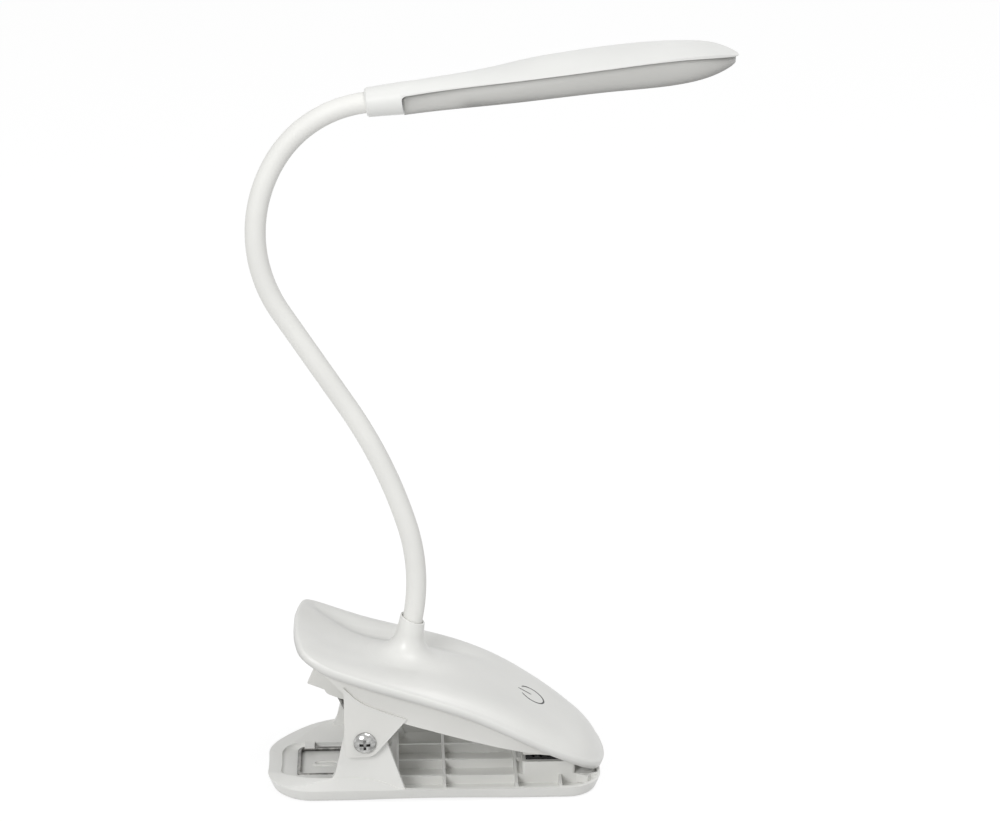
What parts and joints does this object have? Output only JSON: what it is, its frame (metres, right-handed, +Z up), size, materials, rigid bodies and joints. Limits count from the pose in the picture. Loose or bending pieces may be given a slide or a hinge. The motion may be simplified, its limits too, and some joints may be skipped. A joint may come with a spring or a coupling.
{
  "type": "clamp lamp",
  "caption": "Rechargeable lamp with a spring clamp base, a touch switch, a bendable neck and a slim light head.",
  "frame": {"origin": "middle of the closed lamp's bounding box, on the surface the rubber feet stand on", "axes": "+X from the squeeze handle to the jaw tips, +Y across the clamp, +Z up"},
  "size_m": [0.1814, 0.0622, 0.2942],
  "materials": {
    "shell_plastic": "satin white",
    "clamp_plastic": "satin white",
    "head_plastic": "satin white",
    "foot_rubber": "matt grey",
    "pad_rubber": "matt black",
    "spring_steel": "bright drawn wire",
    "shaft_steel": "turned",
    "screw_chrome": "plated",
    "screw_steel": "plated",
    "board_green": "green solder mask",
    "board_white": "white solder mask",
    "cell_foil": "laminated foil",
    "port_steel": "stamped",
    "touch_copper": "copper foil",
    "nut_brass": "brass, plain",
    "wire_coating": "red insulation",
    "diffuser_plastic": "milky translucent",
    "emitter_resin": "yellow phosphor resin",
    "sleeve_silicone": "soft-touch white sleeve",
    "conduit_steel": "wound steel"
  },
  "bodies": {
    "lower_jaw": {"lower_jaw": "clamp_plastic", "rubber_feet": "foot_rubber", "lower_grip_pad": "pad_rubber", "clamp_spring": "spring_steel"},
    "upper_jaw": {"upper_shell": "shell_plastic", "under_cover": "clamp_plastic", "cover_screws": "screw_steel", "control_board": "board_green", "charging_port": "port_steel", "battery_cell": "cell_foil", "touch_plate": "touch_copper", "neck_nut": "nut_brass", "pivot_shaft": "shaft_steel", "pivot_screws": "screw_chrome", "upper_grip_pad": "pad_rubber", "neck_sleeve_01": "sleeve_silicone", "neck_conduit_01": "conduit_steel", "feed_wires": "wire_coating"},
    "neck_span_02": {"neck_sleeve_02": "sleeve_silicone", "neck_conduit_02": "conduit_steel"},
    "neck_span_03": {"neck_sleeve_03": "sleeve_silicone", "neck_conduit_03": "conduit_steel"},
    "neck_span_04": {"neck_sleeve_04": "sleeve_silicone", "neck_conduit_04": "conduit_steel"},
    "neck_span_05": {"neck_sleeve_05": "sleeve_silicone", "neck_conduit_05": "conduit_steel"},
    "neck_span_06": {"neck_sleeve_06": "sleeve_silicone", "neck_conduit_06": "conduit_steel"},
    "neck_span_07": {"neck_sleeve_07": "sleeve_silicone", "neck_conduit_07": "conduit_steel"},
    "neck_span_08": {"neck_sleeve_08": "sleeve_silicone", "neck_conduit_08": "conduit_steel"},
    "neck_span_09": {"neck_sleeve_09": "sleeve_silicone", "neck_conduit_09": "conduit_steel"},
    "neck_span_10": {"neck_sleeve_10": "sleeve_silicone", "neck_conduit_10": "conduit_steel"},
    "head": {"neck_sleeve_11": "sleeve_silicone", "neck_conduit_11": "conduit_steel", "head_top_cover": "head_plastic", "head_frame": "head_plastic", "diffuser": "diffuser_plastic", "led_board": "board_white", "leds": "emitter_resin"}
  },
  "joints": [
    {"name": "clamp_open", "type": "hinge", "parent": "lower_jaw", "child": "upper_jaw", "pos_m": [-0.0491, 0, 0.0282], "axis": [0, -1, 0], "range_deg": [0, 35], "stiffness_Nm_per_rad": 1, "springref_deg": -51.57, "deforming": ["clamp_spring"]},
    {"name": "neck_low_bend", "type": "hinge", "parent": "upper_jaw", "child": "neck_span_02", "pos_m": [-0.02896, 0, 0.07527], "axis": [0, 1, 0], "range_deg": [-13, 13], "deforming": ["feed_wires"]},
    {"name": "neck_low_side", "type": "hinge", "parent": "neck_span_02", "child": "neck_span_03", "pos_m": [-0.03036, 0, 0.10014], "axis": [0.9787, 0, 0.2055], "range_deg": [-13, 13]},
    {"name": "neck_low_bend_b", "type": "hinge", "parent": "neck_span_03", "child": "neck_span_04", "pos_m": [-0.03801, 0, 0.1239], "axis": [0, 1, 0], "range_deg": [-13, 13]},
    {"name": "neck_low_side_b", "type": "hinge", "parent": "neck_span_04", "child": "neck_span_05", "pos_m": [-0.04881, 0, 0.14642], "axis": [0.8716, 0, 0.4902], "range_deg": [-13, 13]},
    {"name": "neck_low_bend_c", "type": "hinge", "parent": "neck_span_05", "child": "neck_span_06", "pos_m": [-0.06201, 0, 0.16764], "axis": [0, 1, 0], "range_deg": [-13, 13]},
    {"name": "neck_high_bend", "type": "hinge", "parent": "neck_span_06", "child": "neck_span_07", "pos_m": [-0.07548, 0, 0.1887], "axis": [0, 1, 0], "range_deg": [-13, 13]},
    {"name": "neck_high_side", "type": "hinge", "parent": "neck_span_07", "child": "neck_span_08", "pos_m": [-0.08562, 0, 0.21135], "axis": [0.9792, 0, 0.203], "range_deg": [-13, 13]},
    {"name": "neck_high_bend_b", "type": "hinge", "parent": "neck_span_08", "child": "neck_span_09", "pos_m": [-0.08513, 0, 0.23613], "axis": [0, 1, 0], "range_deg": [-13, 13]},
    {"name": "neck_high_side_b", "type": "hinge", "parent": "neck_span_09", "child": "neck_span_10", "pos_m": [-0.07387, 0, 0.2582], "axis": [0.7523, 0, -0.6588], "range_deg": [-13, 13]},
    {"name": "neck_high_bend_c", "type": "hinge", "parent": "neck_span_10", "child": "head", "pos_m": [-0.05313, 0, 0.27155], "axis": [0, 1, 0], "range_deg": [-13, 13]}
  ],
  "couplings": [
    {"joint": "neck_low_bend_b", "follows": "neck_low_bend", "ratio": 1},
    {"joint": "neck_low_bend_c", "follows": "neck_low_bend", "ratio": 1},
    {"joint": "neck_low_side_b", "follows": "neck_low_side", "ratio": 1},
    {"joint": "neck_high_bend_b", "follows": "neck_high_bend", "ratio": 1},
    {"joint": "neck_high_bend_c", "follows": "neck_high_bend", "ratio": 1},
    {"joint": "neck_high_side_b", "follows": "neck_high_side", "ratio": 1}
  ]
}
